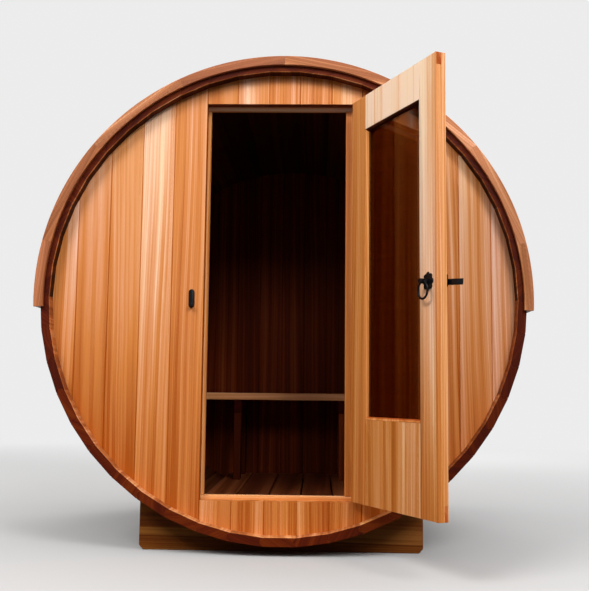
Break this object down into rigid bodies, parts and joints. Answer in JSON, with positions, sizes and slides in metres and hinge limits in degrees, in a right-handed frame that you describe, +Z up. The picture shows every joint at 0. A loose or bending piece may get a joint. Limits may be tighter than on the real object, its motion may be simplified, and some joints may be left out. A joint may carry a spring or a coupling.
{
  "type": "barrel sauna",
  "caption": "Round wooden sauna cabin lying on cradles, with a part-glazed hinged door, ring latch, slatted floor, bench and a second skin of roof boards.",
  "frame": {"origin": "on the ground, at the middle of the front cradle's underside", "axes": "+X to the right seen from the door end, +Y from the door end to the back, +Z up"},
  "size_m": [2.0526, 2.4842, 2.0672],
  "materials": {
    "stave_cedar": "oiled",
    "wall_cedar": "satin",
    "roof_cedar": "matte",
    "hoop_steel": "brushed",
    "cradle_timber": "matte",
    "floor_timber": "matte",
    "bench_timber": "satin",
    "door_cedar": "satin",
    "door_glass": "smooth",
    "black_iron": "satin"
  },
  "bodies": {
    "cabin": {"staves_bottom": "stave_cedar", "staves_right_low": "stave_cedar", "staves_right_high": "stave_cedar", "staves_top": "stave_cedar", "staves_left_high": "stave_cedar", "staves_left_low": "stave_cedar", "front_wall_left": "wall_cedar", "front_wall_right": "wall_cedar", "front_wall_header": "wall_cedar", "front_wall_below_sill": "wall_cedar", "back_wall": "wall_cedar", "head_stop": "wall_cedar", "threshold": "wall_cedar", "latch_side_stop": "wall_cedar", "hinge_side_stop": "wall_cedar", "roof_left": "roof_cedar", "roof_right": "roof_cedar", "front_trim": "roof_cedar", "back_trim": "roof_cedar", "front_hoop": "hoop_steel", "back_hoop": "hoop_steel", "front_cradle": "cradle_timber", "back_cradle": "cradle_timber", "floor_slats": "floor_timber", "floor_bearers": "floor_timber", "bench_boards": "bench_timber", "bench_legs": "bench_timber", "bench_rails": "bench_timber", "wall_hinges": "black_iron", "keeper": "black_iron"},
    "door": {"hinge_stile": "door_cedar", "latch_stile": "door_cedar", "top_rail": "door_cedar", "mid_rail": "door_cedar", "bottom_rail": "door_cedar", "door_panel": "door_cedar", "glazing_beads": "door_cedar", "door_glass": "door_glass", "door_hinges": "black_iron", "rosette": "black_iron", "latch_plate": "black_iron"},
    "latch": {"spindle": "black_iron", "latch_bar": "black_iron"},
    "ring": {"ring_handle": "black_iron"}
  },
  "joints": [
    {"name": "door_swing", "type": "hinge", "parent": "cabin", "child": "door", "pos_m": [0.3275, -0.129, 1.04063], "axis": [0, 0, 1], "range_deg": [-115, 15]},
    {"name": "latch_turn", "type": "hinge", "parent": "door", "child": "latch", "pos_m": [0.57135, -0.66849, 1.04863], "axis": [-0.9063, -0.4226, 0], "range_deg": [0, 25]},
    {"name": "ring_swing", "type": "hinge", "parent": "latch", "child": "ring", "pos_m": [0.51425, -0.69512, 1.04789], "axis": [-0.4226, 0.9063, 0], "range_deg": [-10, 75]}
  ]
}
